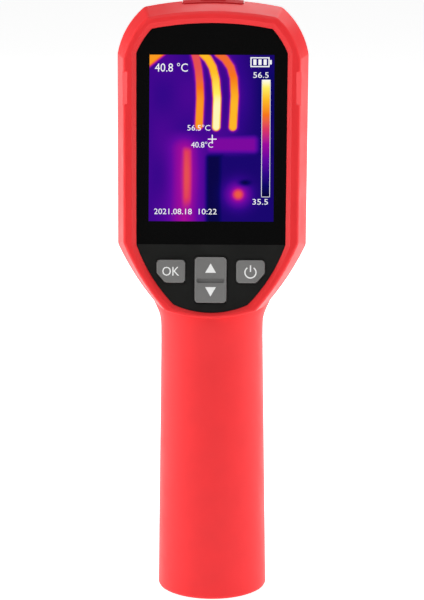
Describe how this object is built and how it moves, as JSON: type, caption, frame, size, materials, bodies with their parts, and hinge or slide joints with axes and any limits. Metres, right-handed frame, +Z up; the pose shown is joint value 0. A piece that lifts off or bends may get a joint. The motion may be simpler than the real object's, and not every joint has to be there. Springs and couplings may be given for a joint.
{
  "type": "thermal imaging camera",
  "caption": "Pistol-grip thermal imaging camera: red housing, portrait screen with keys leaning back over the handle, germanium lens in front, trigger, torch and tripod socket.",
  "frame": {"origin": "mouth of the tripod socket, in the middle of the flat base", "axes": "+Z up along the handle; +Y is where the lens looks; the screen faces the user at -Y, leaning back 12 degrees; +X is to the right for the user"},
  "size_m": [0.0754, 0.0807, 0.2357],
  "materials": {
    "red_shell": "satin moulded red, fine spark texture",
    "red_rubber": "matt red rubber",
    "window_glass": "clear glossy window with a black printed border",
    "fascia": "satin charcoal",
    "key_grey": "satin grey key caps with white printed legends",
    "black_plastic": "matt black moulding",
    "black_rubber": "matt black rubber, ribbed",
    "foam": "black foam tape",
    "lcd": "lit colour display",
    "bracket": "pressed sheet",
    "membrane": "translucent grey silicone",
    "pcb": "green solder mask",
    "ribbon": "amber polyimide",
    "tin_plate": "tinned steel",
    "lens_metal": "black anodised aluminium",
    "germanium": "coated germanium, opaque to the eye, dark violet sheen",
    "clear_lens": "clear moulded lens",
    "sensor": "ceramic package with a dark window",
    "motor": "drawn steel can",
    "steel": "plain steel",
    "screw": "black oxide steel",
    "brass": "turned brass",
    "cell": "shrink-wrapped cell",
    "led": "white LED with a yellow phosphor",
    "wire_red": "insulated wire",
    "wire_black": "insulated wire",
    "copper": "gold-plated contact"
  },
  "bodies": {
    "housing": {"aux_board": "pcb", "barrel_seal": "black_rubber", "battery_cell": "cell", "battery_contacts": "copper", "battery_cradle": "black_plastic", "battery_lead_black": "wire_black", "battery_lead_red": "wire_red", "board_screws": "steel", "buzzer": "black_plastic", "camera_window": "clear_lens", "card_slot": "tin_plate", "case_screws": "screw", "cover_pin": "steel", "display_ribbon": "ribbon", "display_window": "window_glass", "front_lens": "germanium", "front_plate": "black_plastic", "front_shell": "red_shell", "grip_pad": "black_rubber", "key_board": "pcb", "key_fascia": "fascia", "key_ribbon": "ribbon", "keypad_membrane": "membrane", "lcd_frame": "bracket", "lcd_panel": "lcd", "lens_barrel": "lens_metal", "lens_hood": "black_plastic", "lens_ring": "lens_metal", "main_board": "pcb", "memory_card": "black_plastic", "optics_chassis": "lens_metal", "processor_shield": "tin_plate", "rear_lens": "germanium", "rear_shell": "red_shell", "rocker_pin": "steel", "sensor_board": "pcb", "sensor_ribbon": "ribbon", "shutter_motor": "motor", "shutter_plate": "bracket", "thermal_sensor": "sensor", "torch_led": "led", "torch_lens": "clear_lens", "trigger_bracket": "black_plastic", "trigger_pin": "steel", "trigger_spring": "steel", "trigger_switch": "black_plastic", "tripod_insert": "brass", "usb_receptacle": "tin_plate", "view_camera": "black_plastic", "window_gasket": "foam"},
    "ok_key": {"ok_key": "key_grey"},
    "power_key": {"power_key": "key_grey"},
    "arrow_rocker": {"arrow_rocker": "key_grey"},
    "trigger": {"trigger": "black_plastic"},
    "usb_cover": {"usb_cover": "red_rubber"},
    "shutter_blade": {"shutter_blade": "lens_metal"}
  },
  "joints": [
    {"name": "ok_press", "type": "slide", "parent": "housing", "child": "ok_key", "axis": [0, 0.9781, -0.2079], "range_m": [0, 0.0007], "stiffness_N_per_m": 1500, "springref_m": -0.0002},
    {"name": "power_press", "type": "slide", "parent": "housing", "child": "power_key", "axis": [0, 0.9781, -0.2079], "range_m": [0, 0.0007], "stiffness_N_per_m": 1500, "springref_m": -0.0002},
    {"name": "arrow_rock", "type": "hinge", "parent": "housing", "child": "arrow_rocker", "pos_m": [0, -0.01496, 0.129], "axis": [1, 0, 0], "range_deg": [-4, 4], "stiffness_Nm_per_rad": 0.06},
    {"name": "trigger_pull", "type": "hinge", "parent": "housing", "child": "trigger", "pos_m": [0, 0.0152, 0.1193], "axis": [-1, 0, 0], "range_deg": [0, 9], "stiffness_Nm_per_rad": 0.4, "springref_deg": -5.73, "deforming": ["trigger_spring"]},
    {"name": "cover_open", "type": "hinge", "parent": "housing", "child": "usb_cover", "pos_m": [0, 0.0268, 0.2319], "axis": [-1, 0, 0], "range_deg": [0, 100]},
    {"name": "shutter_swing", "type": "hinge", "parent": "housing", "child": "shutter_blade", "pos_m": [-0.013, 0.022, 0.176], "axis": [0, 1, 0], "range_deg": [0, 50], "stiffness_Nm_per_rad": 0.001, "springref_deg": -28.65}
  ]
}
